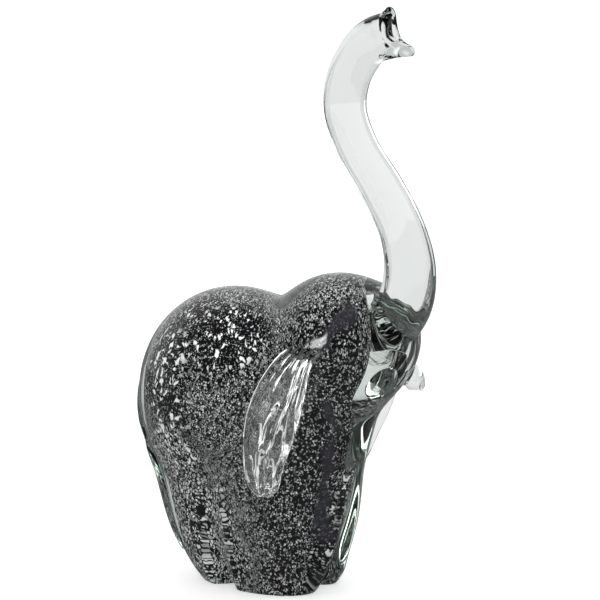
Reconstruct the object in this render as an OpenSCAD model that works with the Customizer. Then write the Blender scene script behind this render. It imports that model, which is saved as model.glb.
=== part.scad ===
// Hand-made glass elephant with a raised trunk.
// A dark core wears a skin of silver leaf and sits inside a thick clear casing.
// Trunk, ears, tusks and tail are clear glass bits fused onto the casing.
// Frame: the elephant faces +X, its left side is +Y, +Z is up.
// The origin is the middle of the flat base.

/* [Body] */
// length of the rump, nose to tail
rump_length = 98; // [92:1:104]
// width of the rump, side to side
rump_width = 84; // [78:1:88]
// height of the rump bulge
rump_height = 103; // [98:1:106]
// height of the middle of the rump above the base
rump_centre_height = 91.5; // [89:0.5:94]
// how far the middle of the rump lies behind the origin
rump_setback = 21; // [18:1:24]
// length of the lower body just above the feet
belly_length = 100; // [96:1:104]
// width of the lower body
belly_width = 70; // [68:1:78]
// height of the middle of the lower body
belly_centre_height = 47.5; // [46:0.5:50]
// how softly the bulges of the body run into each other
body_blend = 5; // [3:0.5:7]

/* [Head] */
// length of the head
head_length = 68; // [64:1:72]
// width of the head
head_width = 60; // [56:1:64]
// height of the head
head_height = 68; // [64:1:72]
// how far the middle of the head lies ahead of the origin
head_forward = 36; // [34:1:39]
// height of the middle of the head
head_centre_height = 120; // [117:1:123]

/* [Feet] */
// depth of the four creases that part the feet
crease_depth = 5.5; // [1:0.5:6]
// width of each crease
crease_width = 10; // [8:1:14]
// height up the body at which the creases die out
crease_height = 75; // [40:1:78]
// how far the side creases lie behind the origin
crease_setback = 14; // [8:1:16]

/* [Core and leaf] */
// length of the dark core in the rump
core_rump_length = 60; // [52:1:66]
// width of the dark core in the rump
core_rump_width = 58; // [50:1:64]
// height of the dark core in the rump
core_rump_height = 83; // [74:1:86]
// length of the dark core in the lower body
core_legs_length = 66; // [56:1:70]
// width of the dark core in the lower body
core_legs_width = 40; // [34:1:46]
// length of the dark core in each front foot
core_foot_length = 14; // [10:1:18]
// width of the dark core in each front foot
core_foot_width = 12; // [8:1:16]
// length of the dark core in the head
core_head_length = 28; // [24:1:34]
// width of the dark core in the head
core_head_width = 37; // [30:1:42]
// height of the dark core in the head
core_head_height = 38; // [34:1:44]
// length of the dark core in the chest
core_chest_length = 56; // [46:1:60]
// width of the dark core in the chest
core_chest_width = 30; // [26:1:38]
// thickness of the silver leaf layer
leaf_thickness = 0.4; // [0.3:0.1:0.8]

/* [Trunk] */
// diameter of the trunk where it leaves the head
trunk_root_d = 25; // [22:0.5:27]
// diameter of the trunk along its length
trunk_d = 20; // [17:0.5:23]
// length of the upper lip at the trunk tip
upper_lip = 3.5; // [3:0.5:7]
// length of the lower lip at the trunk tip
lower_lip = 8; // [6:0.5:10]
// thickness of the rounded lip edge
lip_thickness = 4.6; // [3.6:0.2:5.4]
// depth of the hollow between the lips
mouth_depth = 1; // [1:0.5:9]

/* [Ears] */
// greatest width of an ear
ear_width = 27; // [22:1:31]
// thickness of an ear
ear_thickness = 7.2; // [6:0.2:8]
// number of ribs pressed into the outer face
ear_ribs = 4; // [3:1:5]
// depth of the ribs
rib_depth = 1.8; // [0.4:0.1:2.2]
// how far the ribs slant across the ear from root to tip, as a share of its half width
rib_slant = 0.7; // [0:0.1:1]
// how deeply the ear is cupped
ear_cup = 2.5; // [0:0.5:4]

/* [Tusks] */
// diameter of a tusk at its root
tusk_root_d = 13; // [11:0.5:14]
// diameter of a tusk near its rounded tip
tusk_tip_d = 9.5; // [7:0.5:10]
// distance between the ends of the two tusks
tusk_spread = 40; // [36:1:46]
// how much lower the left tusk hangs
left_tusk_drop = 3; // [0:0.5:4]

/* [Tail] */
// diameter of the tail
tail_d = 12; // [10:0.5:15]
// height at which the tail leaves the rump
tail_top = 98; // [96:1:104]
// height at which the tail ends
tail_end = 15; // [12:1:24]
// swing of the tail towards the right side at its top, in degrees
tail_top_swing = 6; // [0:1:12]
// swing of the tail towards the right side at its end, in degrees
tail_end_swing = 21; // [6:1:24]

/* [Hidden] */
around = 48;
foot_rows = 14;
crown_rows = 16;
waist_height = 85;
axis_forward = 8;
search_reach = 110;
search_steps = 17;
rough_convexity = 10;
belly_reach = 61.5;
core_legs_reach = 59;
core_foot_reach = 34;
core_chest_reach = 31;
core_crease_share = 0.8;
crease_middle = 4;
crease_fade = 8;
lip_side_dip = 0.12;
least_lip_half = 0.5;
hollow_taper = 0.7;
ear_edge_power = 0.7;
ear_tip_reach = 1.2;
tail_flatness = 0.9;
half_turn = 180;
full_turn = 360;
quarter_turn = 90;

clear_colour = [0.86, 0.92, 0.90, 0.35];
core_colour = [0.05, 0.05, 0.06];
leaf_colour = [0.75, 0.75, 0.77];

// ---- bulges of the body: [centre, radii]
rump = [[-rump_setback, 0, rump_centre_height], [rump_length, rump_width, rump_height] / 2];
belly = [[-6, 0, belly_centre_height], [belly_length / 2, belly_width / 2, belly_reach]];
head = [[head_forward, 0, head_centre_height], [head_length, head_width, head_height] / 2];
chest = [[19, 0, 88], [31, 29, 36]];
face = [[58, 0, 126], [17, 18, 20]];
toe_radii = [14, 9, 9];
right_toes = [[10, -15, 7], toe_radii];
left_toes = [[10, 15, 7], toe_radii];
body_bulges = [rump, belly, head, chest, face, right_toes, left_toes];

// ---- bulges of the core inside it
core_rump = [
    [-24, 0, rump_centre_height + 0.5],
    [core_rump_length, core_rump_width, core_rump_height] / 2
];
core_legs = [[-11.5, 0, 45], [core_legs_length / 2, core_legs_width / 2, core_legs_reach]];
core_head = [
    [head_forward - 2, 0, head_centre_height + 5],
    [core_head_length, core_head_width, core_head_height] / 2
];
core_chest = [[7.5, 0, 92], [core_chest_length / 2, core_chest_width / 2, core_chest_reach]];
core_foot_radii = [core_foot_length / 2, core_foot_width / 2, core_foot_reach];
core_right_foot = [[12, -12, 22], core_foot_radii];
core_left_foot = [[12, 12, 22], core_foot_radii];
core_bulges = [core_rump, core_legs, core_head, core_chest, core_right_foot, core_left_foot];

function total(list) = list * [for (v = list) 1];
function smooth(t) = let(c = min(1, max(0, t))) c * c * (3 - 2 * c);

// Signed gap from a point to one bulge, negative inside.
function bulge_gap(p, b) =
    let(q = [(p.x - b[0].x) / b[1].x, (p.y - b[0].y) / b[1].y, (p.z - b[0].z) / b[1].z])
    (norm(q) - 1) * min(b[1]);

// Bulges melted together.
function melted(gaps, k) =
    let(least = min(gaps))
    least - k * ln(total([for (g = gaps) exp((least - g) / k)]));

// Creases between the feet, fading out with height and towards the middle.
function crease(p) =
    let(
        half = crease_width / 2,
        along = (p.x + crease_setback) / half,
        across = p.y / half,
        side = exp(-along * along) * smooth((abs(p.y) - crease_middle) / crease_fade),
        end = exp(-across * across) * smooth((abs(p.x + crease_setback) - crease_middle) / crease_fade)
    )
    crease_depth * smooth(1 - p.z / crease_height) * max(side, end);

// layer 0 is the outside of the casing, 1 the outside of the leaf, 2 the core.
function gap(p, layer) =
    layer == 0
        ? melted([for (b = body_bulges) bulge_gap(p, b)], body_blend) + crease(p)
        : melted([for (b = core_bulges) bulge_gap(p, b)], body_blend)
            + core_crease_share * crease(p)
            + (layer - 1) * leaf_thickness;

// Distance from a start point to the surface along a direction.
function reach(start, way, layer, near = 0, far = search_reach, n = search_steps) =
    let(mid = (near + far) / 2)
    n == 0 ? mid
        : gap(start + mid * way, layer) < 0
            ? reach(start, way, layer, mid, far, n - 1)
            : reach(start, way, layer, near, mid, n - 1);

function on_skin(start, way, layer) = start + reach(start, way, layer) * way;

function axis_at(z) =
    let(t = 1 - z / waist_height)
    [axis_forward * (1 - t * t), 0, z];

function foot_ring(z, layer) =
    [for (i = [0 : around - 1])
        let(a = full_turn * i / around)
        on_skin(axis_at(z), [cos(a), sin(a), 0], layer)];

function crown_ring(rise, layer) =
    [for (i = [0 : around - 1])
        let(a = full_turn * i / around)
        on_skin(axis_at(waist_height), [cos(a) * cos(rise), sin(a) * cos(rise), sin(rise)], layer)];

function skin_rings(layer) = [
    for (k = [0 : foot_rows - 1]) foot_ring(waist_height * k / foot_rows, layer),
    for (k = [0 : crown_rows - 1]) crown_ring(quarter_turn * k / crown_rows, layer)
];

function skin_top(layer) = on_skin(axis_at(waist_height), [0, 0, 1], layer);

function flat(rings) = [for (ring = rings) for (p = ring) p];

// Triangles between stacked rings of n points, first ring starting at index s.
function wall_faces(count, n, s = 0, inward = false) =
    [for (k = [0 : count - 2]) for (i = [0 : n - 1])
        let(
            a = s + k * n + i,
            b = s + k * n + (i + 1) % n,
            c = a + n,
            d = b + n
        )
        each inward ? [[a, b, c], [b, d, c]] : [[a, c, b], [b, c, d]]];

// Fan closing a ring that starts at index s onto the point with index tip.
function fan_faces(n, s, tip, upward) =
    [for (i = [0 : n - 1])
        let(a = s + i, b = s + (i + 1) % n)
        upward ? [a, tip, b] : [a, b, tip]];

// Solid skinned over stacked rings, closed by one point at each end.
module ring_solid(rings, first, last) {
    n = len(rings[0]);
    count = len(rings);
    polyhedron(
        points = concat(flat(rings), [first, last]),
        faces = concat(
            wall_faces(count, n),
            fan_faces(n, 0, count * n, false),
            fan_faces(n, (count - 1) * n, count * n + 1, true)
        ),
        convexity = rough_convexity
    );
}

module skin_solid(layer) {
    rings = skin_rings(layer);
    ring_solid(rings, axis_at(0), skin_top(layer));
}

// Layer of glass or leaf between two skins, open at the flat base.
module shell_solid(outer, inner) {
    rows = foot_rows + crown_rows;
    count = rows * around;
    points = concat(
        flat(skin_rings(outer)), [skin_top(outer)],
        flat(skin_rings(inner)), [skin_top(inner)]
    );
    base_faces = [for (i = [0 : around - 1])
        let(
            a = i,
            b = (i + 1) % around,
            c = count + 1 + a,
            d = count + 1 + b
        )
        each [[a, b, c], [b, d, c]]];
    polyhedron(
        points = points,
        faces = concat(
            wall_faces(rows, around),
            fan_faces(around, count - around, count, true),
            wall_faces(rows, around, count + 1, true),
            fan_faces(around, 2 * count + 1 - around, 2 * count + 1, false),
            base_faces
        ),
        convexity = rough_convexity
    );
}

// A fused bit keeps only the part that stands outside the casing.
module fused_bit() {
    resize([0, 0, 0]) difference() {
        children();
        skin_solid(0);
    }
}

// ---- smooth curve through stations of any dimension
function between(a, b, c, d, t) =
    0.5 * (2 * b + (c - a) * t + (2 * a - 5 * b + 4 * c - d) * t * t
        + (3 * b - a - 3 * c + d) * t * t * t);

function station(list, i) = list[min(len(list) - 1, max(0, i))];

function curve(list, steps) = [
    for (i = [0 : len(list) - 2]) for (k = [0 : steps - 1])
        between(station(list, i - 1), list[i], list[i + 1], station(list, i + 2), k / steps),
    list[len(list) - 1]
];

function unit(v) = v / norm(v);
function place(s) = [s[0], s[1], s[2]];
function heading(path, i) = unit(place(station(path, i + 1)) - place(station(path, i - 1)));

// ---- trunk: [x, y, z, diameter] up the middle of the trunk
trunk_stations = [
    [62, 0, 128, trunk_root_d],
    [71, 0, 143, trunk_root_d + 1],
    [73.5, 0, 160, trunk_root_d - 1],
    [69, 0, 178, trunk_d + 1.5],
    [58.5, 0, 196, trunk_d + 0.5],
    [46.5, 0, 213, trunk_d - 0.5],
    [39, 0, 231, trunk_d],
    [40.5, 0, 247, trunk_d + 0.5],
    [47.5, 0, 259.5, trunk_d + 1],
    [54, 0, 265, trunk_d + 1.5],
    [62.2, 0, 267.9, trunk_d + 2]
];
trunk_path = curve(trunk_stations, 4);
trunk_sides = 20;
lip_rows = 5;
tip_flat = 0.74;
lip_splay = 0.15;

function trunk_ring(i) =
    let(
        s = trunk_path[i],
        way = heading(trunk_path, i),
        out = [-way.z, 0, way.x],
        last = len(trunk_path) - 1,
        squeeze = 1 - (1 - tip_flat) * smooth((i - last + 8) / 8)
    )
    [for (k = [0 : trunk_sides - 1])
        let(a = full_turn * k / trunk_sides)
        place(s) + s[3] / 2 * (cos(a) * out + squeeze * sin(a) * [0, -1, 0])];

tip_last = len(trunk_path) - 1;
tip_place = place(trunk_path[tip_last]);
tip_way = heading(trunk_path, tip_last);
tip_out = [-tip_way.z, 0, tip_way.x];
tip_radius = trunk_path[tip_last][3] / 2;

// Lips: long above and below, notched at both sides. grow runs along the lip,
// inset runs from the outer face to the inner one.
function lip_point(a, grow, inset) =
    let(
        up = abs(cos(a)),
        lip_length = cos(a) > 0 ? upper_lip : lower_lip,
        forward = lip_length * grow * up * up,
        splay = 1 + lip_splay * grow * up,
        r = tip_radius - inset
    )
    tip_place + forward * tip_way
        + r * splay * cos(a) * tip_out
        + max(least_lip_half, r * tip_flat - lip_side_dip * grow * tip_radius) * sin(a) * [0, -1, 0];

function lip_ring(grow, inset) =
    [for (k = [0 : trunk_sides - 1]) lip_point(full_turn * k / trunk_sides, grow, inset)];

// Rounded edge of the lip, then the hollow between the lips.
function edge_ring(turn) =
    [for (k = [0 : trunk_sides - 1])
        let(
            a = full_turn * k / trunk_sides,
            half = lip_thickness / 2
        )
        lip_point(a, 1, half * (1 - cos(turn))) + half * sin(turn) * tip_way];

function hollow_ring(t) =
    [for (k = [0 : trunk_sides - 1])
        let(
            a = full_turn * k / trunk_sides,
            inset = lip_thickness + t * (tip_radius - lip_thickness) * hollow_taper
        )
        lip_point(a, 1 - t, inset) - mouth_depth * t * t * tip_way];

module trunk() {
    color(clear_colour) fused_bit() ring_solid(
        [
            for (i = [0 : tip_last]) trunk_ring(i),
            for (k = [1 : lip_rows]) lip_ring(k / lip_rows, 0),
            for (turn = [45, 90, 135, 180]) edge_ring(turn),
            for (t = [0.25, 0.5, 0.75, 1]) hollow_ring(t)
        ],
        place(trunk_path[0]),
        tip_place - (mouth_depth + 0.5) * tip_way
    );
}

// ---- ear: [x, y, z, width, thickness] down the middle of the right ear
ear_stations = [
    [36, -18, 122, 0.55 * ear_width, ear_thickness + 1],
    [34.5, -29, 121, 0.60 * ear_width, ear_thickness],
    [32.5, -38, 115, 0.74 * ear_width, ear_thickness],
    [30, -44, 103, 0.95 * ear_width, ear_thickness],
    [26, -46.5, 88, ear_width, ear_thickness],
    [21.5, -45.5, 71, 0.80 * ear_width, ear_thickness],
    [19.5, -42.5, 58, 0.60 * ear_width, ear_thickness - 0.6],
    [19.5, -41, 53, 0.28 * ear_width, ear_thickness - 3]
];
ear_path = curve(ear_stations, 3);
ear_sides = 36;

function ear_ring(i) =
    let(
        s = ear_path[i],
        way = heading(ear_path, i),
        wide = unit([1, 0, 0] - way.x * way),
        thin = cross(way, wide),
        grow = smooth(i / 6)
    )
    [for (k = [0 : ear_sides - 1])
        let(
            a = full_turn * k / ear_sides,
            w = cos(a),
            slant = rib_slant * (i / (len(ear_path) - 1) - 0.5),
            rib = sin(a) > 0 ? rib_depth * grow * (cos(half_turn * ear_ribs * (w + slant)) - 1) / 2 : 0,
            bend = ear_cup * grow * (w * w - 0.5)
        )
        place(s) + s[3] / 2 * w * wide
            + (s[4] / 2 * sign(sin(a)) * pow(abs(sin(a)), ear_edge_power) + rib * sin(a) + bend) * thin];

module right_ear_shape() {
    last = len(ear_path) - 1;
    fused_bit() ring_solid(
        [for (i = [0 : last]) ear_ring(i)],
        place(ear_path[0]),
        place(ear_path[last]) + ear_tip_reach * heading(ear_path, last)
    );
}

module right_ear() {
    color(clear_colour) right_ear_shape();
}

module left_ear() {
    color(clear_colour) mirror([0, 1, 0]) right_ear_shape();
}

// ---- tusk: [x, y, z, diameter] along the right tusk
tusk_tip_y = tusk_spread / 2;
tusk_stations = [
    [54, -3, 115, tusk_root_d],
    [64, -7.5, 112, tusk_root_d - 0.5],
    [67.5, -13.5, 108.5, (tusk_root_d + tusk_tip_d) / 2],
    [66.2, -tusk_tip_y, 104, tusk_tip_d]
];
tusk_path = curve(tusk_stations, 3);
tusk_sides = 16;
tip_rows = 3;

function round_ring(path, i, sides) =
    let(
        s = path[i],
        way = heading(path, i),
        wide = unit(cross([0, 0, 1], way)),
        up = cross(way, wide)
    )
    [for (k = [0 : sides - 1])
        let(a = full_turn * k / sides)
        place(s) + s[3] / 2 * (cos(a) * wide + sin(a) * up)];

// Rounded end rings beyond the last station.
function end_ring(path, sides, turn) =
    let(
        last = len(path) - 1,
        s = path[last],
        way = heading(path, last),
        shift = s[3] / 2 * sin(turn),
        ring = round_ring(path, last, sides)
    )
    [for (p = ring) place(s) + (p - place(s)) * cos(turn) + shift * way];

module tusk_solid() {
    last = len(tusk_path) - 1;
    ring_solid(
        [
            for (i = [0 : last]) round_ring(tusk_path, i, tusk_sides),
            for (k = [1 : tip_rows]) end_ring(tusk_path, tusk_sides, quarter_turn * k / (tip_rows + 1))
        ],
        place(tusk_path[0]),
        place(tusk_path[last]) + tusk_tip_d / 2 * heading(tusk_path, last)
    );
}

module right_tusk() {
    color(clear_colour) fused_bit() tusk_solid();
}

module left_tusk() {
    color(clear_colour) fused_bit() translate([0, 0, -left_tusk_drop])
        mirror([0, 1, 0]) tusk_solid();
}

// ---- tail: lies down the back of the rump, crimped a third of the way down
tail_rows = 22;
tail_sides = 16;
tail_sink = 0.42;
crimp_at = 0.36;

function tail_radius(t) =
    tail_d / 2 * sqrt(max(0.02, sin(half_turn * min(1, 0.06 + 0.9 * t))))
        * (1 - 0.22 * exp(-pow((t - crimp_at) / 0.05, 2)));

function tail_way(t) =
    let(a = half_turn + tail_top_swing + t * (tail_end_swing - tail_top_swing))
    [cos(a), sin(a), 0];

function tail_place(t) =
    let(
        z = tail_top + t * (tail_end - tail_top),
        way = tail_way(t)
    )
    on_skin([axis_at(min(z, waist_height)).x, 0, z], way, 0) - tail_sink * tail_radius(t) * way;

function tail_ring(t) =
    let(
        out = tail_way(t),
        side = [-out.y, out.x, 0],
        c = tail_place(t)
    )
    [for (k = [0 : tail_sides - 1])
        let(a = full_turn * k / tail_sides)
        c + tail_radius(t) * (tail_flatness * cos(a) * out + sin(a) * side)];

module tail() {
    color(clear_colour) fused_bit() ring_solid(
        [for (k = [0 : tail_rows]) tail_ring(1 - k / tail_rows)],
        tail_place(1),
        tail_place(0)
    );
}

// ---- core, leaf and casing
module dark_core() {
    color(core_colour) skin_solid(2);
}

module silver_leaf() {
    color(leaf_colour) shell_solid(1, 2);
}

module clear_casing() {
    color(clear_colour) shell_solid(0, 1);
}

dark_core();
silver_leaf();
clear_casing();
trunk();
right_ear();
left_ear();
right_tusk();
left_tusk();
tail();
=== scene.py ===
"""Glass elephant with a raised trunk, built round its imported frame.

All shape functions work in millimetres in the frame's own axes: the elephant
faces +X, its left side is +Y, +Z is up. Meshes are written in metres.
"""
import math

import bpy
import numpy as np
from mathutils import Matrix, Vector
from mathutils.bvhtree import BVHTree


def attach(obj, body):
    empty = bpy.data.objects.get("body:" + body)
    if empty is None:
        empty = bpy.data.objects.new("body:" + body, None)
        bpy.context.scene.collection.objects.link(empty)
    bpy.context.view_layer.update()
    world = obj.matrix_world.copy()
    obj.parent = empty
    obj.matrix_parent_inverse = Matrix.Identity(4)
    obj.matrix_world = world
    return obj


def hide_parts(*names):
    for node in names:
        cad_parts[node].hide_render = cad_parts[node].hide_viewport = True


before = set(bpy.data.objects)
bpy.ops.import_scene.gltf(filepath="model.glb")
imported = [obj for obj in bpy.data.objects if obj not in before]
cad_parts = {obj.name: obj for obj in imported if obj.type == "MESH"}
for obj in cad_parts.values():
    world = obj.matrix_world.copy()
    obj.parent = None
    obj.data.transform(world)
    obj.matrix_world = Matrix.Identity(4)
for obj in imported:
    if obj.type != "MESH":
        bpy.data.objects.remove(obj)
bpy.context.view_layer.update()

MM = 0.001

# ---------------------------------------------------------------- body shape
RUMP = ((-21.0, 0.0, 91.5), (49.0, 42.0, 51.5))
BELLY = ((-6.0, 0.0, 47.5), (50.0, 35.0, 61.5))
HEAD = ((36.0, 0.0, 120.0), (34.0, 30.0, 34.0))
CHEST = ((19.0, 0.0, 88.0), (31.0, 29.0, 36.0))
FACE = ((58.0, 0.0, 126.0), (17.0, 18.0, 20.0))
RIGHT_TOES = ((10.0, -15.0, 7.0), (14.0, 9.0, 9.0))
LEFT_TOES = ((10.0, 15.0, 7.0), (14.0, 9.0, 9.0))
BODY_BULGES = (RUMP, BELLY, HEAD, CHEST, FACE, RIGHT_TOES, LEFT_TOES)

CORE_RUMP = ((-24.0, 0.0, 92.0), (30.0, 29.0, 41.5))
CORE_BELLY = ((-11.5, 0.0, 45.0), (33.0, 20.0, 59.0))
CORE_HEAD = ((34.0, 0.0, 125.0), (14.0, 18.5, 19.0))
CORE_CHEST = ((7.5, 0.0, 92.0), (28.0, 15.0, 31.0))
CORE_RIGHT_FOOT = ((12.0, -12.0, 22.0), (7.0, 6.0, 34.0))
CORE_LEFT_FOOT = ((12.0, 12.0, 22.0), (7.0, 6.0, 34.0))
CORE_BULGES = (CORE_RUMP, CORE_BELLY, CORE_HEAD, CORE_CHEST, CORE_RIGHT_FOOT, CORE_LEFT_FOOT)

BODY_BLEND = 5.0
CREASE_DEPTH = 5.5
CREASE_WIDTH = 10.0
CREASE_HEIGHT = 75.0
CREASE_SETBACK = 14.0
CREASE_MIDDLE = 4.0
CREASE_FADE = 8.0
CORE_CREASE_SHARE = 0.8
LEAF_THICKNESS = 0.4
WAIST_HEIGHT = 85.0
AXIS_FORWARD = 8.0
SEARCH_REACH = 110.0
SEARCH_STEPS = 24


def smooth(t):
    t = np.clip(t, 0.0, 1.0)
    return t * t * (3.0 - 2.0 * t)


def bulge_gap(p, bulge):
    """Signed gap from points to one bulge, negative inside."""
    centre, radii = np.array(bulge[0]), np.array(bulge[1])
    return (np.linalg.norm((p - centre) / radii, axis=-1) - 1.0) * radii.min()


def melted(gaps):
    """Bulges run softly into each other."""
    gaps = np.stack(gaps)
    least = gaps.min(axis=0)
    return least - BODY_BLEND * np.log(np.exp((least - gaps) / BODY_BLEND).sum(axis=0))


def crease(p):
    """Creases that part the four feet."""
    half = CREASE_WIDTH / 2.0
    along = (p[..., 0] + CREASE_SETBACK) / half
    across = p[..., 1] / half
    off_middle = np.abs(p[..., 1]) - CREASE_MIDDLE
    off_crease = np.abs(p[..., 0] + CREASE_SETBACK) - CREASE_MIDDLE
    side = np.exp(-along * along) * smooth(off_middle / CREASE_FADE)
    end = np.exp(-across * across) * smooth(off_crease / CREASE_FADE)
    return CREASE_DEPTH * smooth(1.0 - p[..., 2] / CREASE_HEIGHT) * np.maximum(side, end)


def casing_gap(p):
    return melted([bulge_gap(p, b) for b in BODY_BULGES]) + crease(p)


def core_gap(p):
    return melted([bulge_gap(p, b) for b in CORE_BULGES]) + CORE_CREASE_SHARE * crease(p)


def axis_at(z):
    """Point on the bent line inside the body that all rings of skin are cast from."""
    t = 1.0 - z / WAIST_HEIGHT
    return np.array([AXIS_FORWARD * (1.0 - t * t), 0.0, z])


def skin(gap, around, foot_rows, crown_rows, offset=0.0):
    """Rings of points on the surface where the gap function reaches the offset, plus the top."""
    turn = np.linspace(0.0, 2.0 * math.pi, around, endpoint=False)
    flat = np.stack([np.cos(turn), np.sin(turn), 0.0 * turn], axis=-1)
    starts, ways = [], []
    for z in np.linspace(0.0, WAIST_HEIGHT, foot_rows, endpoint=False):
        starts.append(np.tile(axis_at(z), (around, 1)))
        ways.append(flat)
    for rise in np.linspace(0.0, math.pi / 2.0, crown_rows + 1):
        starts.append(np.tile(axis_at(WAIST_HEIGHT), (around, 1)))
        ways.append(flat * math.cos(rise) + np.array([0.0, 0.0, math.sin(rise)]))
    starts, ways = np.array(starts), np.array(ways)
    near = np.zeros(starts.shape[:2])
    far = np.full(starts.shape[:2], SEARCH_REACH)
    for _ in range(SEARCH_STEPS):
        mid = (near + far) / 2.0
        inside = gap(starts + mid[..., None] * ways) < offset
        near = np.where(inside, mid, near)
        far = np.where(inside, far, mid)
    points = starts + mid[..., None] * ways
    return points[:-1], points[-1, 0]


# ---------------------------------------------------------------- mesh makers
def ring_faces(rows, around, first, inward=False):
    k, i = np.meshgrid(np.arange(rows - 1), np.arange(around), indexing="ij")
    a = first + k * around + i
    b = first + k * around + (i + 1) % around
    quads = np.stack([a, b, b + around, a + around], axis=-1).reshape(-1, 4)
    return (quads[:, ::-1] if inward else quads).tolist()


def fan(around, first, tip, upward):
    i = np.arange(around)
    a, b = first + i, first + (i + 1) % around
    t = np.full(around, tip)
    return np.stack([a, b, t] if upward else [b, a, t], axis=-1).tolist()


def new_piece(name, points, faces, sharp=50.0):
    mesh = bpy.data.meshes.new(name)
    mesh.from_pydata((np.asarray(points) * MM).tolist(), [], faces)
    mesh.validate()
    mesh.shade_smooth()
    mesh.set_sharp_from_angle(angle=math.radians(sharp))
    piece = bpy.data.objects.new(name, mesh)
    bpy.context.scene.collection.objects.link(piece)
    return piece


def ring_solid(name, rings, first, last, sharp=50.0):
    """Closed solid skinned over stacked rings."""
    rows, around = rings.shape[:2]
    points = np.vstack([rings.reshape(-1, 3), first, last])
    faces = ring_faces(rows, around, 0)
    faces += fan(around, 0, rows * around, False)
    faces += fan(around, (rows - 1) * around, rows * around + 1, True)
    return new_piece(name, points, faces, sharp)


def shell_solid(name, outer, inner, sharp=50.0):
    """Closed layer between two skins, joined across the flat base."""
    (out_rings, out_top), (in_rings, in_top) = outer, inner
    rows, around = out_rings.shape[:2]
    inner_rows = in_rings.shape[0]
    count = rows * around
    points = np.vstack([out_rings.reshape(-1, 3), out_top, in_rings.reshape(-1, 3), in_top])
    faces = ring_faces(rows, around, 0)
    faces += fan(around, count - around, count, True)
    faces += ring_faces(inner_rows, around, count + 1, True)
    faces += fan(around, count + 1 + (inner_rows - 1) * around, len(points) - 1, False)
    i = np.arange(around)
    a, b = i, (i + 1) % around
    faces += np.stack([b, a, count + 1 + a, count + 1 + b], axis=-1).tolist()
    return new_piece(name, points, faces, sharp)


# ---------------------------------------------------------------- curves
def between(a, b, c, d, t):
    t = t[:, None]
    return 0.5 * (
        2.0 * b + (c - a) * t + (2.0 * a - 5.0 * b + 4.0 * c - d) * t * t
        + (3.0 * b - a - 3.0 * c + d) * t * t * t
    )


def curve(stations, steps):
    """Smooth path through stations of any dimension."""
    s = np.array(stations, float)
    padded = np.vstack([s[:1], s, s[-1:]])
    t = np.linspace(0.0, 1.0, steps, endpoint=False)
    parts = [between(*padded[i : i + 4], t) for i in range(len(s) - 1)]
    return np.vstack(parts + [s[-1:]])


def headings(path):
    step = np.gradient(path[:, :3], axis=0)
    return step / np.linalg.norm(step, axis=1, keepdims=True)


def circle(sides):
    turn = np.linspace(0.0, 2.0 * math.pi, sides, endpoint=False)
    return np.cos(turn), np.sin(turn)


ROOT_SINK = 0.4
ROOT_CROWDING = 1.15


def start_on_casing(rings):
    """Every line of a bit starts just under the casing's skin, so the root follows the body."""
    rows, around = rings.shape[:2]
    gap = casing_gap(rings)
    out = np.empty((rows, around, 3))
    pace = np.linspace(0.0, 1.0, rows) ** ROOT_CROWDING
    for k in range(around):
        under = np.nonzero(gap[:, k] < -ROOT_SINK)[0]
        j = under[-1] if len(under) else 0
        span = gap[j + 1, k] - gap[j, k]
        start = j + np.clip((-ROOT_SINK - gap[j, k]) / span, 0.0, 1.0)
        at = start + (rows - 1 - start) * pace
        for axis in range(3):
            out[:, k, axis] = np.interp(at, np.arange(rows), rings[:, k, axis])
    return out


# ---------------------------------------------------------------- trunk
TRUNK_ROOT_D = 25.0
TRUNK_D = 20.0
TRUNK_STATIONS = (
    (62.0, 0.0, 128.0, TRUNK_ROOT_D),
    (71.0, 0.0, 143.0, TRUNK_ROOT_D + 1.0),
    (73.5, 0.0, 160.0, TRUNK_ROOT_D - 1.0),
    (69.0, 0.0, 178.0, TRUNK_D + 1.5),
    (58.5, 0.0, 196.0, TRUNK_D + 0.5),
    (46.5, 0.0, 213.0, TRUNK_D - 0.5),
    (39.0, 0.0, 231.0, TRUNK_D),
    (40.5, 0.0, 247.0, TRUNK_D + 0.5),
    (47.5, 0.0, 259.5, TRUNK_D + 1.0),
    (54.0, 0.0, 265.0, TRUNK_D + 1.5),
    (62.2, 0.0, 267.9, TRUNK_D + 2.0),
)
TIP_FLAT = 0.74
LIP_SPLAY = 0.15
UPPER_LIP = 3.5
LOWER_LIP = 8.0
LIP_THICKNESS = 4.6
MOUTH_DEPTH = 1.0
MOUTH_SHARE = 0.7
MOUTH_FLOOR = 0.5
LIP_PINCH = 0.12
FLUTE_DEPTH = 0.010
WIDE_FLUTES = 7.0
WIDE_FLUTE_TURN = 0.6
FINE_FLUTES = 12.0
FINE_FLUTE_SHARE = 0.6


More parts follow.
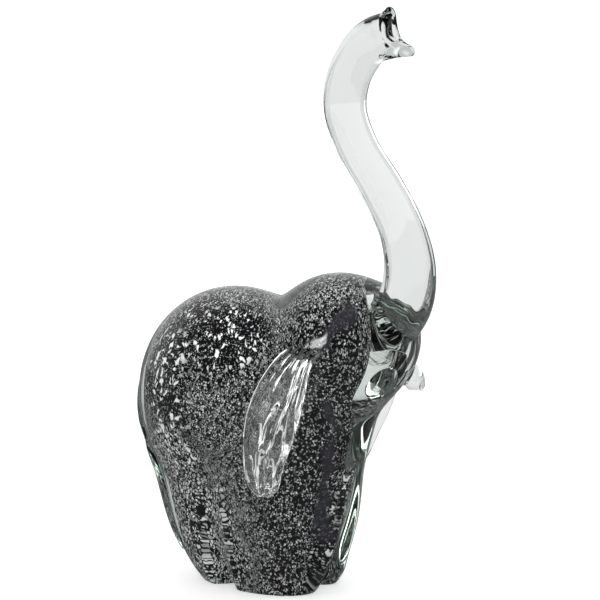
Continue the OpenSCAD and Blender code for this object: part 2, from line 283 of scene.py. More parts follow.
def trunk_rings(sides=96, steps=24):
    """Rings of the rod, then of the two lips and the shallow mouth between them."""
    path = curve(TRUNK_STATIONS, steps)
    ways = headings(path)
    outs = np.stack([-ways[:, 2], 0.0 * ways[:, 0], ways[:, 0]], axis=-1)
    cos, sin = circle(sides)
    down_side = np.array([0.0, -1.0, 0.0])
    rows = len(path)
    squeeze = 1.0 - (1.0 - TIP_FLAT) * smooth((np.arange(rows) - rows + 2 * steps) / (2.0 * steps))
    angle = np.linspace(0.0, 2.0 * math.pi, sides, endpoint=False)
    wide_flutes = np.cos(WIDE_FLUTES * angle + WIDE_FLUTE_TURN)
    fine_flutes = FINE_FLUTE_SHARE * np.cos(FINE_FLUTES * angle)
    fade = smooth((rows - 1.0 - np.arange(rows)) / steps)[:, None]
    flute = 1.0 + FLUTE_DEPTH * fade * (wide_flutes + fine_flutes)
    tube = (
        path[:, None, :3]
        + path[:, None, 3:4] / 2.0 * flute[..., None]
        * (cos[None, :, None] * outs[:, None, :] + (squeeze[:, None] * sin[None, :])[..., None] * down_side)
    )
    centre, way, out, radius = path[-1, :3], ways[-1], outs[-1], path[-1, 3] / 2.0
    up = np.abs(cos)
    lip_length = np.where(cos > 0.0, UPPER_LIP, LOWER_LIP)

    def lip(grow, inset):
        r = radius - inset
        splay = 1.0 + LIP_SPLAY * grow * up
        across = np.maximum(0.5, r * TIP_FLAT - LIP_PINCH * grow * radius)
        return (
            centre
            + (lip_length * grow * up * up)[:, None] * way
            + (r * splay * cos)[:, None] * out
            + (across * sin)[:, None] * down_side
        )

    rings = [lip(g, 0.0) for g in np.linspace(0.0, 1.0, 12)[1:]]
    half = LIP_THICKNESS / 2.0
    for turn in np.linspace(0.0, math.pi, 13)[1:]:
        rings.append(lip(1.0, half * (1.0 - math.cos(turn))) + half * math.sin(turn) * way)
    for t in np.linspace(0.0, 1.0, 12)[1:]:
        inset = LIP_THICKNESS + t * (radius - LIP_THICKNESS) * MOUTH_SHARE
        rings.append(lip(1.0 - t, inset) - MOUTH_DEPTH * t * t * way)
    return tube, np.array(rings), centre - (MOUTH_DEPTH + MOUTH_FLOOR) * way


def make_trunk():
    tube, tip, hollow = trunk_rings()
    tube = start_on_casing(tube)
    rings = np.vstack([tube, tip])
    root = tube[0].mean(axis=0)
    return ring_solid("trunk_glass", rings, root, hollow)


# ---------------------------------------------------------------- ears
EAR_WIDTH = 27.0
EAR_THICKNESS = 7.2
EAR_RIBS = 4
RIB_DEPTH = 1.8
RIB_SLANT = 0.7
OUTER_RIPPLES = 9.0
RIPPLE_DEPTH = 0.45
RIPPLE_BOW = 0.35
INNER_RIBS = 5
INNER_RIB_DEPTH = 3.4
INNER_RIB_WANDER = 0.16
INNER_RIPPLES = 14.0
INNER_RIPPLE_DEPTH = 1.0
INNER_RIPPLE_BOW = 0.9
INNER_RIB_SLANT = 0.9
EAR_CUP = 2.5
EAR_EDGE_POWER = 0.7
EAR_TIP_REACH = 1.2
EAR_STATIONS = (
    (36.0, -18.0, 122.0, 0.55 * EAR_WIDTH, EAR_THICKNESS + 1.0),
    (34.5, -29.0, 121.0, 0.60 * EAR_WIDTH, EAR_THICKNESS),
    (32.5, -38.0, 115.0, 0.74 * EAR_WIDTH, EAR_THICKNESS),
    (30.0, -44.0, 103.0, 0.95 * EAR_WIDTH, EAR_THICKNESS),
    (26.0, -46.5, 88.0, EAR_WIDTH, EAR_THICKNESS),
    (21.5, -45.5, 71.0, 0.80 * EAR_WIDTH, EAR_THICKNESS),
    (19.5, -42.5, 58.0, 0.60 * EAR_WIDTH, EAR_THICKNESS - 0.6),
    (19.5, -41.0, 53.0, 0.28 * EAR_WIDTH, EAR_THICKNESS - 3.0),
)


def ear_rings(sides=128, steps=16):
    """Ribbed outer face, sharper folds on the inner face, cross ripples towards the tip."""
    path = curve(EAR_STATIONS, steps)
    ways = headings(path)
    wide = np.array([1.0, 0.0, 0.0]) - ways[:, :1] * ways
    wide /= np.linalg.norm(wide, axis=1, keepdims=True)
    thin = np.cross(ways, wide)
    grow = smooth(np.arange(len(path)) / (2.0 * steps))[:, None]
    depth = grow * path[:, 4:5] / EAR_THICKNESS
    cos, sin = (v[None, :] for v in circle(sides))
    share = np.linspace(0.0, 1.0, len(path))[:, None]
    slanted = cos + RIB_SLANT * (share - 0.5)
    groove = (np.cos(math.pi * EAR_RIBS * slanted) - 1.0) / 2.0
    rib = np.where(sin > 0.0, RIB_DEPTH * depth * groove, 0.0)
    across = np.sin(2.0 * math.pi * (OUTER_RIPPLES * share + RIPPLE_BOW * cos * cos))
    ripple = RIPPLE_DEPTH * smooth((share - 0.45) / 0.2) * across * np.abs(sin)
    wander = INNER_RIB_WANDER * np.sin(2.0 * math.pi * (1.7 * share + 0.8 * cos))
    folds = INNER_RIBS * (cos + wander + INNER_RIB_SLANT * (0.5 - share)) / 2.0
    ridge = np.arccos(0.97 * np.cos(2.0 * math.pi * folds)) / math.pi
    deepening = 0.45 + 0.55 * smooth((share - 0.3) / 0.35)
    low = smooth((share - 0.55) / 0.15)
    bowed = INNER_RIPPLES * share + INNER_RIPPLE_BOW * cos * cos
    cross = np.arccos(0.95 * np.cos(2.0 * math.pi * bowed)) / math.pi
    pressed = INNER_RIB_DEPTH * deepening * ridge + INNER_RIPPLE_DEPTH * low * cross
    inner = np.where(sin < 0.0, -depth * pressed * sin, 0.0)
    bend = EAR_CUP * grow * (cos * cos - 0.5)
    slab = path[:, 4:5] / 2.0 * np.sign(sin) * np.abs(sin) ** EAR_EDGE_POWER
    rings = (
        path[:, None, :3]
        + (path[:, 3:4] / 2.0 * cos)[..., None] * wide[:, None]
        + (slab + rib * sin + inner + ripple + bend)[..., None] * thin[:, None]
    )
    return rings, path[-1, :3] + EAR_TIP_REACH * ways[-1]


def mirrored(rings, side):
    """The same rings on the elephant's left side, wound the same way round."""
    if side < 0.0:
        return rings
    flipped = rings * np.array([1.0, -1.0, 1.0])
    return flipped[:, ::-1] if flipped.ndim == 3 else flipped


def make_ear(name, side):
    rings, tip = ear_rings()
    rings = start_on_casing(rings)
    rings = mirrored(rings, side)
    tip = mirrored(tip, side)
    return ring_solid(name, rings, rings[0].mean(axis=0), tip)


# ---------------------------------------------------------------- tusks
TUSK_ROOT_D = 13.0
TUSK_TIP_D = 9.5
TUSK_SPREAD = 40.0
LEFT_TUSK_DROP = 3.0
TUSK_STATIONS = (
    (54.0, -3.0, 115.0, TUSK_ROOT_D),
    (64.0, -7.5, 112.0, TUSK_ROOT_D - 0.5),
    (67.5, -13.5, 108.5, (TUSK_ROOT_D + TUSK_TIP_D) / 2.0),
    (66.2, -TUSK_SPREAD / 2.0, 104.0, TUSK_TIP_D),
)


def tusk_rings(sides=64, steps=20):
    path = curve(TUSK_STATIONS, steps)
    ways = headings(path)
    wide = np.cross(np.array([0.0, 0.0, 1.0]), ways)
    wide /= np.linalg.norm(wide, axis=1, keepdims=True)
    up = np.cross(ways, wide)
    cos, sin = circle(sides)
    unit_ring = cos[None, :, None] * wide[:, None] + sin[None, :, None] * up[:, None]
    tube = path[:, None, :3] + path[:, None, 3:4] / 2.0 * unit_ring
    radius = path[-1, 3] / 2.0
    cap = [
        path[-1, :3] + radius * math.cos(turn) * unit_ring[-1] + radius * math.sin(turn) * ways[-1]
        for turn in np.linspace(0.0, math.pi / 2.0, 12)[1:-1]
    ]
    return tube, np.array(cap), path[-1, :3] + radius * ways[-1]


def make_tusk(name, side, drop):
    tube, cap, tip = tusk_rings()
    shift = np.array([0.0, 0.0, -drop])
    tube = start_on_casing(tube + shift)
    rings = mirrored(np.vstack([tube, cap + shift]), side)
    return ring_solid(name, rings, rings[0].mean(axis=0), mirrored(tip + shift, side))


# ---------------------------------------------------------------- tail
TAIL_D = 12.0
TAIL_TOP = 98.0
TAIL_END = 15.0
TAIL_TOP_SWING = math.radians(6.0)
TAIL_END_SWING = math.radians(21.0)
TAIL_SINK = 0.42
TAIL_FLATNESS = 0.9
CRIMP_AT = 0.36
CRIMP_LENGTH = 0.05
CRIMP_DEPTH = 0.22


def tail_radius(t):
    swell = np.sqrt(np.maximum(0.02, np.sin(math.pi * np.minimum(1.0, 0.06 + 0.9 * t))))
    crimp = CRIMP_DEPTH * np.exp(-(((t - CRIMP_AT) / CRIMP_LENGTH) ** 2))
    return TAIL_D / 2.0 * swell * (1.0 - crimp)


def skin_point(start, way):
    """Where a straight line from inside the body leaves the casing."""
    near, far = 0.0, SEARCH_REACH
    for _ in range(SEARCH_STEPS):
        mid = (near + far) / 2.0
        if casing_gap(start + mid * way) < 0.0:
            near = mid
        else:
            far = mid
    return start + mid * way


def make_tail(rows=120, sides=64):
    cos, sin = circle(sides)
    rings = []
    for t in np.linspace(1.0, 0.0, rows):
        swing = TAIL_TOP_SWING + t * (TAIL_END_SWING - TAIL_TOP_SWING)
        out = np.array([-math.cos(swing), -math.sin(swing), 0.0])
        side = np.array([-out[1], out[0], 0.0])
        z = TAIL_TOP + t * (TAIL_END - TAIL_TOP)
        start = np.array([axis_at(min(z, WAIST_HEIGHT))[0], 0.0, z])
        r = tail_radius(t)
        centre = skin_point(start, out) - TAIL_SINK * r * out
        rings.append(centre + r * (TAIL_FLATNESS * cos[:, None] * out + sin[:, None] * side))
    rings = np.array(rings)
    return ring_solid("tail_glass", rings, rings[0].mean(axis=0), rings[-1].mean(axis=0))


# ---------------------------------------------------------------- joints between fused bits
def mark_gap_to_casing(piece):
    """Stores how far each point of a bit stands outside the casing."""
    points = np.empty(len(piece.data.vertices) * 3)
    piece.data.vertices.foreach_get("co", points)
    gap = casing_gap(points.reshape(-1, 3) / MM)
    piece.data.attributes.new("clear_of_joint", "FLOAT", "POINT").data.foreach_set("value", gap)


def mark_gap_to_bits(casing, bits, reach=3.0):
    """Stores how far each point of the casing lies outside the nearest fused bit."""
    count = len(casing.data.vertices)
    points = np.empty(count * 3)
    casing.data.vertices.foreach_get("co", points)
    points = points.reshape(-1, 3)
    gap = np.full(count, reach)
    for bit in bits:
        tree = BVHTree.FromObject(bit, bpy.context.evaluated_depsgraph_get())
        corners = np.array([list(c) for c in bit.bound_box])
        low = corners.min(axis=0) - reach * MM
        high = corners.max(axis=0) + reach * MM
        close = np.nonzero(((points > low) & (points < high)).all(axis=1))[0]
        for index in close:
            spot = Vector(points[index])
            found, normal, _, distance = tree.find_nearest(spot)
            side = -1.0 if (spot - found).dot(normal) < 0.0 else 1.0
            gap[index] = min(gap[index], side * distance / MM)
    casing.data.attributes.new("clear_of_joint", "FLOAT", "POINT").data.foreach_set("value", gap)


# ---------------------------------------------------------------- materials
def new_material(name):
    material = bpy.data.materials.new(name)
    material.use_nodes = True
    tree = material.node_tree
    tree.nodes.clear()
    out = tree.nodes.new("ShaderNodeOutputMaterial")
    shader = tree.nodes.new("ShaderNodeBsdfPrincipled")
    tree.links.new(shader.outputs["BSDF"], out.inputs["Surface"])
    return material, tree, shader, out


def add(tree, kind, **settings):
    node = tree.nodes.new(kind)
    for key, value in settings.items():
        if key in node.inputs:
            node.inputs[key].default_value = value
        else:
            setattr(node, key, value)
    return node


def new_group(name, inputs, outputs):
    """Empty shader group with its sockets; inputs are (name, kind, start value)."""
    group = bpy.data.node_groups.new(name, "ShaderNodeTree")
    for title, kind, value in inputs:
        socket = group.interface.new_socket(title, in_out="INPUT", socket_type=kind)
        if value is not None:
            socket.default_value = value
    for title, kind in outputs:
        group.interface.new_socket(title, in_out="OUTPUT", socket_type=kind)
    first = group.nodes.new("NodeGroupInput")
    last = group.nodes.new("NodeGroupOutput")
    return group, first, last


def use_group(tree, group, **values):
    node = tree.nodes.new("ShaderNodeGroup")
    node.node_tree = group
    for key, value in values.items():
        node.inputs[key].default_value = value
    return node


def joint_mask_group():
    """One outside a fused joint, zero where two melted pieces run together."""
    group, first, last = new_group("joint_mask", [], [("Alpha", "NodeSocketFloat")])
    joint = add(group, "ShaderNodeAttribute", attribute_name="clear_of_joint")
    outside = add(group, "ShaderNodeMath", operation="GREATER_THAN")
    outside.inputs[1].default_value = 0.0
    group.links.new(joint.outputs["Fac"], outside.inputs[0])
    group.links.new(outside.outputs[0], last.inputs["Alpha"])
    return group


def hand_worked_group():
    """Slow waves left by tools and heat, stretched along one axis."""
    inputs = [
        ("Waves Per Metre", "NodeSocketFloat", 60.0),
        ("Stretch", "NodeSocketVector", (1.0, 1.0, 1.0)),
        ("Turn", "NodeSocketVector", (0.0, 0.0, 0.0)),
        ("Depth", "NodeSocketFloat", 0.0006),
        ("Strength", "NodeSocketFloat", 0.3),
    ]
    group, first, last = new_group("hand_worked_waves", inputs, [("Normal", "NodeSocketVector")])
    coords = add(group, "ShaderNodeTexCoord")
    frame_of_waves = add(group, "ShaderNodeMapping", vector_type="TEXTURE")
    group.links.new(coords.outputs["Object"], frame_of_waves.inputs["Vector"])
    group.links.new(first.outputs["Stretch"], frame_of_waves.inputs["Scale"])
    group.links.new(first.outputs["Turn"], frame_of_waves.inputs["Rotation"])
    waves = add(group, "ShaderNodeTexNoise", Detail=1.5, Roughness=0.4)
    group.links.new(frame_of_waves.outputs["Vector"], waves.inputs["Vector"])
    group.links.new(first.outputs["Waves Per Metre"], waves.inputs["Scale"])
    bump = add(group, "ShaderNodeBump")
    group.links.new(first.outputs["Strength"], bump.inputs["Strength"])
    group.links.new(first.outputs["Depth"], bump.inputs["Distance"])
    group.links.new(waves.outputs["Fac"], bump.inputs["Height"])
    group.links.new(bump.outputs["Normal"], last.inputs["Normal"])
    return group


JOINT_MASK = joint_mask_group()
HAND_WORKED = hand_worked_group()
GLASS_TINT = (0.80, 0.865, 0.83, 1.0)
GLASS_TINT_DEPTH = 16.0


def clear_glass(name, waves, stretch, turn, depth, strength):
    material, tree, shader, out = new_material(name)
    shader.inputs["Base Color"].default_value = (0.985, 0.995, 0.99, 1.0)
    shader.inputs["Roughness"].default_value = 0.0
    shader.inputs["IOR"].default_value = 1.5
    shader.inputs["Transmission Weight"].default_value = 1.0
    mask = use_group(tree, JOINT_MASK)
    tree.links.new(mask.outputs["Alpha"], shader.inputs["Alpha"])
    worked = use_group(
        tree,
        HAND_WORKED,
        **{
            "Waves Per Metre": waves,
            "Stretch": stretch,
            "Turn": turn,
            "Depth": depth,
            "Strength": strength,
        },
    )
    tree.links.new(worked.outputs["Normal"], shader.inputs["Normal"])
    tint = add(tree, "ShaderNodeVolumeAbsorption", Color=GLASS_TINT, Density=GLASS_TINT_DEPTH)
    tree.links.new(tint.outputs[0], out.inputs["Volume"])
    return material


def islands_group():
    """Torn silver islands with dark cracks between them, and a painted sheen for each island, brighter or
    darker as if its flake were tilted to the light.
    """
    inputs = [
        ("Vector", "NodeSocketVector", None),
        ("Islands Per Metre", "NodeSocketFloat", 900.0),
        ("Raggedness", "NodeSocketFloat", 0.3),
        ("Gap", "NodeSocketFloat", 0.2),
        ("Kept", "NodeSocketFloat", 0.8),
    ]
    outputs = [("Mask", "NodeSocketFloat"), ("Tilt Sheen", "NodeSocketFloat")]
    group, first, last = new_group("leaf_islands", inputs, outputs)
    link = group.links.new
    jitter = add(group, "ShaderNodeTexNoise", Detail=1.0)
    link(first.outputs["Vector"], jitter.inputs["Vector"])
    link(first.outputs["Islands Per Metre"], jitter.inputs["Scale"])
    centred = add(group, "ShaderNodeVectorMath", operation="SUBTRACT")
    centred.inputs[1].default_value = (0.5, 0.5, 0.5)
    link(jitter.outputs["Color"], centred.inputs[0])
    step = add(group, "ShaderNodeMath", operation="DIVIDE")
    link(first.outputs["Raggedness"], step.inputs[0])
    link(first.outputs["Islands Per Metre"], step.inputs[1])
    shift = add(group, "ShaderNodeVectorMath", operation="SCALE")
    link(centred.outputs["Vector"], shift.inputs["Vector"])
    link(step.outputs[0], shift.inputs["Scale"])
    torn = add(group, "ShaderNodeVectorMath", operation="ADD")
    link(first.outputs["Vector"], torn.inputs[0])
    link(shift.outputs["Vector"], torn.inputs[1])
    edges = add(group, "ShaderNodeTexVoronoi", feature="DISTANCE_TO_EDGE")
    cells = add(group, "ShaderNodeTexVoronoi", feature="F1")
    for texture in (edges, cells):
        link(torn.outputs["Vector"], texture.inputs["Vector"])
        link(first.outputs["Islands Per Metre"], texture.inputs["Scale"])
    chance = add(group, "ShaderNodeSeparateColor")
    link(cells.outputs["Color"], chance.inputs["Color"])
    solid = add(group, "ShaderNodeMapRange")
    solid.inputs["To Min"].default_value = 0.0
    link(edges.outputs["Distance"], solid.inputs["Value"])
    link(first.outputs["Gap"], solid.inputs["From Min"])
    soft = add(group, "ShaderNodeMath", operation="ADD")
    soft.inputs[1].default_value = 0.08
    link(first.outputs["Gap"], soft.inputs[0])
    link(soft.outputs[0], solid.inputs["From Max"])
    kept = add(group, "ShaderNodeMath", operation="LESS_THAN")
    link(chance.outputs["Red"], kept.inputs[0])
    link(first.outputs["Kept"], kept.inputs[1])
    both = add(group, "ShaderNodeMath", operation="MULTIPLY")
    link(solid.outputs["Result"], both.inputs[0])
    link(kept.outputs[0], both.inputs[1])
    link(both.outputs[0], last.inputs["Mask"])
    # The green chance of each cell becomes the painted sheen of that island.
    link(chance.outputs["Green"], last.inputs["Tilt Sheen"])
    return group


def near_line_group():
    """One close to a straight line between two points, falling to nothing over the edge."""
    inputs = [
        ("Vector", "NodeSocketVector", None),
        ("Start", "NodeSocketVector", (0.0, 0.0, 0.0)),
        ("End", "NodeSocketVector", (0.0, 0.0, 0.0)),
        ("Reach", "NodeSocketFloat", 0.01),
        ("Edge", "NodeSocketFloat", 0.01),
    ]
    group, first, last = new_group("near_line", inputs, [("Mask", "NodeSocketFloat")])
    link = group.links.new

    def vector_step(operation, a, b):
        node = add(group, "ShaderNodeVectorMath", operation=operation)
        link(a, node.inputs[0])
        link(b, node.inputs["Scale"] if operation == "SCALE" else node.inputs[1])
        return node

    from_start = vector_step("SUBTRACT", first.outputs["Vector"], first.outputs["Start"]).outputs[0]
    line = vector_step("SUBTRACT", first.outputs["End"], first.outputs["Start"]).outputs[0]
    along = vector_step("DOT_PRODUCT", from_start, line).outputs["Value"]
    whole = vector_step("DOT_PRODUCT", line, line).outputs["Value"]
    share = add(group, "ShaderNodeMath", operation="DIVIDE", use_clamp=True)
    link(along, share.inputs[0])
    link(whole, share.inputs[1])
    foot = vector_step("SCALE", line, share.outputs[0]).outputs[0]
    away = vector_step("DISTANCE", from_start, foot).outputs["Value"]
    far = add(group, "ShaderNodeMath", operation="ADD")
    link(first.outputs["Reach"], far.inputs[0])
    link(first.outputs["Edge"], far.inputs[1])
    fade = add(group, "ShaderNodeMapRange", interpolation_type="SMOOTHSTEP")
    fade.inputs["To Min"].default_value = 1.0
    fade.inputs["To Max"].default_value = 0.0
    link(away, fade.inputs["Value"])
    link(first.outputs["Reach"], fade.inputs["From Min"])
    link(far.outputs[0], fade.inputs["From Max"])
    link(fade.outputs["Result"], last.inputs["Mask"])
    return group


def blend(tree, factor, low, high):
    """Number part way between two, each a socket or a plain value."""
    mix = add(tree, "ShaderNodeMapRange", clamp=True)
    tree.links.new(factor, mix.inputs["Value"])
    for socket, value in (("To Min", low), ("To Max", high)):
        if isinstance(value, float):
            mix.inputs[socket].default_value = value
        else:
            tree.links.new(value, mix.inputs[socket])
    return mix.outputs["Result"]


def combine(tree, operation, a, b):
    node = add(tree, "ShaderNodeMath", operation=operation, use_clamp=True)
    for index, value in enumerate((a, b)):
        if isinstance(value, float):
            node.inputs[index].default_value = value
        else:
            tree.links.new(value, node.inputs[index])
    return node.outputs[0]


CRACK_COLOUR = (0.0045, 0.004, 0.0055, 1.0)
# Smooth dark violet painted where dark reflections lie on the throat, near front leg and cheek.
DARK_REFLECTION_COLOUR = (0.032, 0.028, 0.037, 1.0)
ZONE_WANDER = 0.02


def mirror_rays(tree):
    """Light Path node, and one only for rays that left a surface as a mirror reflection."""
    path = add(tree, "ShaderNodeLightPath")
    mirrored = combine(
        tree,
        "MULTIPLY",
        path.outputs["Is Glossy Ray"],
        path.outputs["Is Reflection Ray"],
    )
    return path, mirrored


def ramp(tree, value, start, end, low, high):
    """Soft step from low to high as the value goes from start to end."""
    step = add(tree, "ShaderNodeMapRange", interpolation_type="SMOOTHSTEP")
    sockets = {"From Min": start, "From Max": end, "To Min": low, "To Max": high}
    for socket, number in sockets.items():
        step.inputs[socket].default_value = number
    tree.links.new(value, step.inputs["Value"])
    return step.outputs["Result"]


def leaf_material():
    """Torn silver over black: fine crackle, long cells low on the back, coarse flakes on the rump."""
    material, tree, shader, out = new_material("silver_leaf_crackle")
    link = tree.links.new
    islands = islands_group()
    near_line = near_line_group()
    coords = add(tree, "ShaderNodeTexCoord").outputs["Object"]
    wander = add(tree, "ShaderNodeTexNoise", Scale=70.0, Detail=2.0)
    link(coords, wander.inputs["Vector"])
    wander_small = add(tree, "ShaderNodeVectorMath", operation="MULTIPLY_ADD")
    link(wander.outputs["Color"], wander_small.inputs[0])
    wander_small.inputs[1].default_value = (ZONE_WANDER,) * 3
    wander_small.inputs[2].default_value = (-ZONE_WANDER / 2.0,) * 3
    uneven = add(tree, "ShaderNodeVectorMath", operation="ADD")
    link(coords, uneven.inputs[0])
    link(wander_small.outputs["Vector"], uneven.inputs[1])

    def zone(start, end, reach, edge):
        line = use_group(tree, near_line, Start=start, End=end, Reach=reach, Edge=edge)
        link(uneven.outputs["Vector"], line.inputs["Vector"])
        return line.outputs["Mask"]

    def layer(scale, tall, **settings):
        drawn = add(tree, "ShaderNodeMapping", vector_type="TEXTURE")
        drawn.inputs["Scale"].default_value = (1.0, 1.0, tall)
        link(coords, drawn.inputs["Vector"])
        node = use_group(tree, islands, **settings)
        node.inputs["Islands Per Metre"].default_value = scale
        link(drawn.outputs["Vector"], node.inputs["Vector"])
        return node

    fine = layer(1200.0, 1.25, Raggedness=1.2)
    worms = layer(800.0, 1.7, Raggedness=1.3, Gap=0.10, Kept=0.90)
    flakes = layer(430.0, 1.5, Raggedness=1.3, Gap=0.16, Kept=0.42)
    chips = layer(290.0, 1.0, Raggedness=1.4, Gap=0.15, Kept=0.5)

    crown_flakes = zone((-0.038, -0.017, 0.114), (-0.006, -0.018, 0.120), 0.008, 0.016)
    back_flakes = zone((-0.044, -0.020, 0.110), (-0.038, -0.024, 0.066), 0.009, 0.013)
    low_back = zone((-0.040, -0.010, 0.060), (-0.020, -0.014, 0.016), 0.014, 0.020)
    front_dim = zone((0.040, -0.014, 0.110), (0.020, -0.006, 0.020), 0.016, 0.016)
    # Painted dark reflections: smooth dark bands down the throat and near front leg and across the cheek,
    # where the silver is left out.
    dark_reflection_throat = zone((0.0340, -0.0065, 0.094), (0.0270, -0.001, 0.062), 0.0022, 0.0035)
    dark_reflection_leg = zone((0.0270, -0.001, 0.062), (0.0170, 0.003, 0.006), 0.0022, 0.0035)
    dark_reflection_chest = combine(tree, "MAXIMUM", dark_reflection_throat, dark_reflection_leg)
    dark_reflection_cheek = zone((0.036, -0.018, 0.122), (0.046, -0.007, 0.133), 0.0028, 0.0035)
    crumple = zone((0.0345, -0.019, 0.1205), (0.037, -0.018, 0.1235), 0.0022, 0.0015)
    far_foot = zone((0.016, 0.014, 0.050), (0.014, 0.014, 0.006), 0.010, 0.006)

    sparse = combine(tree, "MAXIMUM", crown_flakes, back_flakes)
    gap = blend(tree, sparse, 0.09, 0.20)
    kept = blend(tree, front_dim, blend(tree, sparse, 0.84, 0.72), 0.5)
    link(gap, fine.inputs["Gap"])
    link(kept, fine.inputs["Kept"])
    flecked = combine(tree, "MAXIMUM", crown_flakes, far_foot)
    big = combine(
        tree,
        "MAXIMUM",
        combine(tree, "MULTIPLY", flakes.outputs["Mask"], flecked),
        combine(tree, "MULTIPLY", chips.outputs["Mask"], back_flakes),
    )
    long_cells = combine(tree, "MULTIPLY", worms.outputs["Mask"], low_back)
    small = combine(tree, "MULTIPLY", fine.outputs["Mask"], combine(tree, "SUBTRACT", 1.0, low_back))
    leaf_on = combine(tree, "MAXIMUM", combine(tree, "MAXIMUM", small, long_cells), big)
    # The painted dark reflections take out most of the silver and lay the smooth dark violet in its place.
    dark_reflection = combine(tree, "MAXIMUM", dark_reflection_chest, dark_reflection_cheek)
    torn = combine(tree, "MULTIPLY", leaf_on, blend(tree, dark_reflection, 1.0, 0.1))
    ground = add(tree, "ShaderNodeMix", data_type="RGBA")
    ground.inputs["A"].default_value = CRACK_COLOUR
    ground.inputs["B"].default_value = DARK_REFLECTION_COLOUR
    link(dark_reflection, ground.inputs["Factor"])
    silver = combine(tree, "MAXIMUM", torn, crumple)

    # Painted sheen: each island's silver is brightened or darkened at random as if its flake were tilted to
    # the light; the long cells low on the back get a brighter range.
    sheen_small = blend(tree, fine.outputs["Tilt Sheen"], 0.04, 0.9)
    sheen_long = blend(tree, worms.outputs["Tilt Sheen"], 0.3, 1.1)
    flake_sheen = blend(tree, low_back, sheen_small, sheen_long)
    # The crumpled patch takes its fold brightness from the same painted sheen.
    folded = combine(tree, "MULTIPLY", crumple, blend(tree, worms.outputs["Tilt Sheen"], 0.35, 1.0))
    bright = combine(tree, "MAXIMUM", flake_sheen, combine(tree, "MAXIMUM", big, folded))
    tone = add(tree, "ShaderNodeCombineColor")
    for channel in ("Red", "Green", "Blue"):
        link(bright, tone.inputs[channel])
    colour = add(tree, "ShaderNodeMix", data_type="RGBA")
    link(ground.outputs["Result"], colour.inputs["A"])
    link(tone.outputs["Color"], colour.inputs["B"])
    link(silver, colour.inputs["Factor"])
    link(colour.outputs["Result"], shader.inputs["Base Color"])
    link(blend(tree, silver, 0.0, 0.25), shader.inputs["Metallic"])
    lift = add(tree, "ShaderNodeBump", Strength=0.6, Distance=0.00025)
    link(silver, lift.inputs["Height"])
    link(lift.outputs["Normal"], shader.inputs["Normal"])
    shader.inputs["Roughness"].default_value = 0.5
    shader.inputs["Specular IOR Level"].default_value = 0.0
    return material


def dark_glass():
    material, tree, shader, out = new_material("black_violet_glass")
    coords = add(tree, "ShaderNodeTexCoord")
    swirl = add(tree, "ShaderNodeTexNoise", Scale=30.0, Detail=3.0, Distortion=1.5)
    tree.links.new(coords.outputs["Object"], swirl.inputs["Vector"])
    colour = add(tree, "ShaderNodeMix", data_type="RGBA")
    colour.inputs["A"].default_value = (0.006, 0.005, 0.008, 1.0)
    colour.inputs["B"].default_value = (0.020, 0.014, 0.026, 1.0)
    tree.links.new(swirl.outputs["Fac"], colour.inputs["Factor"])
    tree.links.new(colour.outputs["Result"], shader.inputs["Base Color"])
    shader.inputs["Roughness"].default_value = 0.12
    return material


# ---------------------------------------------------------------- assembly
AROUND = 360
LEAF_LIFT = 0.1

casing = shell_solid(
    "casing_glass",
    skin(casing_gap, AROUND, 110, 120),
    skin(core_gap, AROUND, 70, 80),
)
leaf = shell_solid(
    "leaf_layer",
    skin(core_gap, AROUND, 110, 120, LEAF_LIFT),
    skin(core_gap, AROUND, 70, 80, -LEAF_THICKNESS),
)
core_rings, core_top = skin(core_gap, AROUND, 70, 80, -LEAF_THICKNESS)
core = ring_solid("core_glass", core_rings, axis_at(0.0), core_top)
trunk = make_trunk()
right_ear = make_ear("right_ear_glass", -1.0)
left_ear = make_ear("left_ear_glass", 1.0)
right_tusk = make_tusk("right_tusk_glass", -1.0, 0.0)
left_tusk = make_tusk("left_tusk_glass", 1.0, LEFT_TUSK_DROP)
tail = make_tail()

bits = {
    "trunk": trunk,
    "right_ear": right_ear,
    "left_ear": left_ear,
    "right_tusk": right_tusk,
    "left_tusk": left_tusk,
    "tail": tail,
}
for bit in bits.values():
    mark_gap_to_casing(bit)
mark_gap_to_bits(casing, bits.values())

even = (1.0, 1.0, 1.0)
casing.data.materials.append(
    clear_glass("casing_clear_glass", 35.0, even, (0.0, 0.0, 0.0), 0.0012, 0.25)
)
trunk.data.materials.append(
    clear_glass("trunk_clear_glass", 110.0, (1.0, 1.0, 5.0), (0.0, 0.0, 0.0), 0.0006, 0.2)
)
ear_glass = clear_glass("ear_clear_glass", 140.0, (1.0, 1.0, 2.2), (0.0, 0.35, 0.0), 0.0012, 0.5)
tusk_glass = clear_glass("tusk_clear_glass", 130.0, (1.5, 1.0, 1.0), (0.0, 0.0, 0.0), 0.0008, 0.3)
tail_glass = clear_glass("tail_clear_glass", 90.0, (1.0, 1.0, 2.0), (0.0, 0.0, 0.0), 0.0010, 0.3)
for piece in (right_ear, left_ear):
    piece.data.materials.append(ear_glass)
for piece in (right_tusk, left_tusk):
    piece.data.materials.append(tusk_glass)
tail.data.materials.append(tail_glass)
leaf.data.materials.append(leaf_material())
core.data.materials.append(dark_glass())

for node, piece in {**bits, "clear_casing": casing, "silver_leaf": leaf, "dark_core": core}.items():
    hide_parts(node)
    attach(piece, "root")

# ---------------------------------------------------------------- floor, light and camera
scene = bpy.context.scene
scene.view_settings.view_transform = "Standard"


FLOOR_HALF = 12.0
FLOOR_TOP = -0.0002
FLOOR_TONE = (0.84, 0.84, 0.84, 1.0)
FLOOR_TONE_IN_MIRRORS = (0.2, 0.2, 0.2, 1.0)
FLOOR_GLOW = 0.4


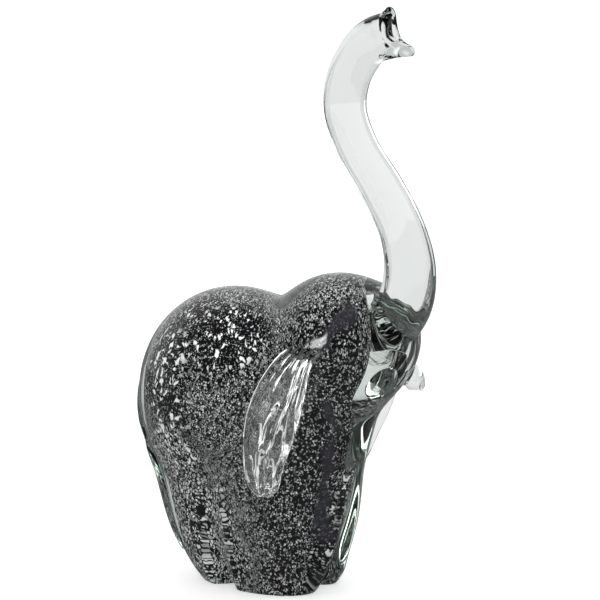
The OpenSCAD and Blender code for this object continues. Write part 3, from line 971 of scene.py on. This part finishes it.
def make_floor():
    corners = ((-1, -1), (1, -1), (1, 1), (-1, 1))
    mesh = bpy.data.meshes.new("studio_floor")
    mesh.from_pydata(
        [(x * FLOOR_HALF, y * FLOOR_HALF, FLOOR_TOP) for x, y in corners],
        [],
        [(0, 1, 2, 3)],
    )
    floor = bpy.data.objects.new("studio_floor", mesh)
    scene.collection.objects.link(floor)
    material, tree, shader, out = new_material("pale_floor")
    shader.inputs["Roughness"].default_value = 0.6
    shader.inputs["Emission Color"].default_value = (1.0, 1.0, 1.0, 1.0)
    path, mirrored = mirror_rays(tree)
    glow = add(tree, "ShaderNodeMath", operation="MULTIPLY")
    glow.inputs[1].default_value = FLOOR_GLOW
    tree.links.new(path.outputs["Is Camera Ray"], glow.inputs[0])
    tree.links.new(glow.outputs[0], shader.inputs["Emission Strength"])
    tone = add(tree, "ShaderNodeMix", data_type="RGBA")
    tone.inputs["A"].default_value = FLOOR_TONE
    tone.inputs["B"].default_value = FLOOR_TONE_IN_MIRRORS
    tree.links.new(mirrored, tone.inputs["Factor"])
    tree.links.new(tone.outputs["Result"], shader.inputs["Base Color"])
    mesh.materials.append(material)
    return floor


YAW = math.radians(30.0)
RISE = math.radians(9.5)
DISTANCE = 1.6
right = Vector((math.cos(YAW), math.sin(YAW), 0.0))
up = Vector((-math.sin(YAW) * math.sin(RISE), math.cos(YAW) * math.sin(RISE), math.cos(RISE)))
towards = right.cross(up)


def make_camera():
    camera = bpy.data.objects.new("camera", bpy.data.cameras.new("camera"))
    scene.collection.objects.link(camera)
    target = 0.01244 * right + 0.1364 * up + 0.0231 * towards
    camera.location = target + DISTANCE * towards
    camera.rotation_euler = (-towards).to_track_quat("-Z", "Y").to_euler()
    camera.data.sensor_width = 36.0
    camera.data.lens = 200.6
    scene.camera = camera
    return camera


DIM_ROOM = 0.08
OVERHEAD_LIGHT = 0.5
OVERHEAD_LIGHT_IN_GLASS = 2.8
FRONT_LIGHT_IN_GLASS = 2.6
SIDE_LIGHT_IN_GLASS = 0.8
WHITE_TO_CAMERA = 1.3


def make_world():
    """Soft studio: white behind, brighter above, dim to mirror reflections of the front."""
    world = bpy.data.worlds.new("studio")
    world.use_nodes = True
    scene.world = world
    tree = world.node_tree
    tree.nodes.clear()
    link = tree.links.new
    out = tree.nodes.new("ShaderNodeOutputWorld")
    back = tree.nodes.new("ShaderNodeBackground")
    link(back.outputs[0], out.inputs["Surface"])
    coords = add(tree, "ShaderNodeTexCoord").outputs["Generated"]
    path, mirrored = mirror_rays(tree)
    facing = add(tree, "ShaderNodeVectorMath", operation="DOT_PRODUCT")
    facing.inputs[1].default_value = tuple(towards)
    link(coords, facing.inputs[0])
    to_viewer = facing.outputs["Value"]
    height = add(tree, "ShaderNodeSeparateXYZ")
    link(coords, height.inputs["Vector"])
    upward = height.outputs["Z"]

    overhead = add(tree, "ShaderNodeMapRange")
    overhead.inputs["To Min"].default_value = 1.0
    overhead.inputs["To Max"].default_value = 1.0 + OVERHEAD_LIGHT
    link(upward, overhead.inputs["Value"])

    sides = ramp(tree, to_viewer, -0.75, -0.2, 1.0, SIDE_LIGHT_IN_GLASS)
    front = ramp(tree, to_viewer, 0.3, 0.9, 0.0, FRONT_LIGHT_IN_GLASS)
    above = ramp(tree, upward, 0.3, 0.9, 0.0, OVERHEAD_LIGHT_IN_GLASS)
    in_glass = add(tree, "ShaderNodeMath", operation="ADD")
    link(front, in_glass.inputs[0])
    link(above, in_glass.inputs[1])
    all_in_glass = add(tree, "ShaderNodeMath", operation="ADD")
    link(in_glass.outputs[0], all_in_glass.inputs[0])
    link(sides, all_in_glass.inputs[1])

    def choose(factor, otherwise, chosen):
        mix = add(tree, "ShaderNodeMix", data_type="FLOAT")
        link(factor, mix.inputs["Factor"])
        link(otherwise, mix.inputs["A"])
        link(chosen, mix.inputs["B"])
        return mix.outputs["Result"]

    lit_room = choose(
        path.outputs["Is Transmission Ray"],
        overhead.outputs["Result"],
        all_in_glass.outputs[0],
    )
    mirrored_room = ramp(tree, to_viewer, -0.45, 0.25, 1.0, DIM_ROOM)
    sky = choose(mirrored, lit_room, mirrored_room)
    white = add(tree, "ShaderNodeMath", operation="MULTIPLY")
    white.inputs[1].default_value = WHITE_TO_CAMERA
    link(path.outputs["Is Camera Ray"], white.inputs[0])
    seen = add(tree, "ShaderNodeMath", operation="MAXIMUM")
    link(sky, seen.inputs[0])
    link(white.outputs[0], seen.inputs[1])
    link(seen.outputs[0], back.inputs["Strength"])
    return world


make_floor()
make_camera()
make_world()
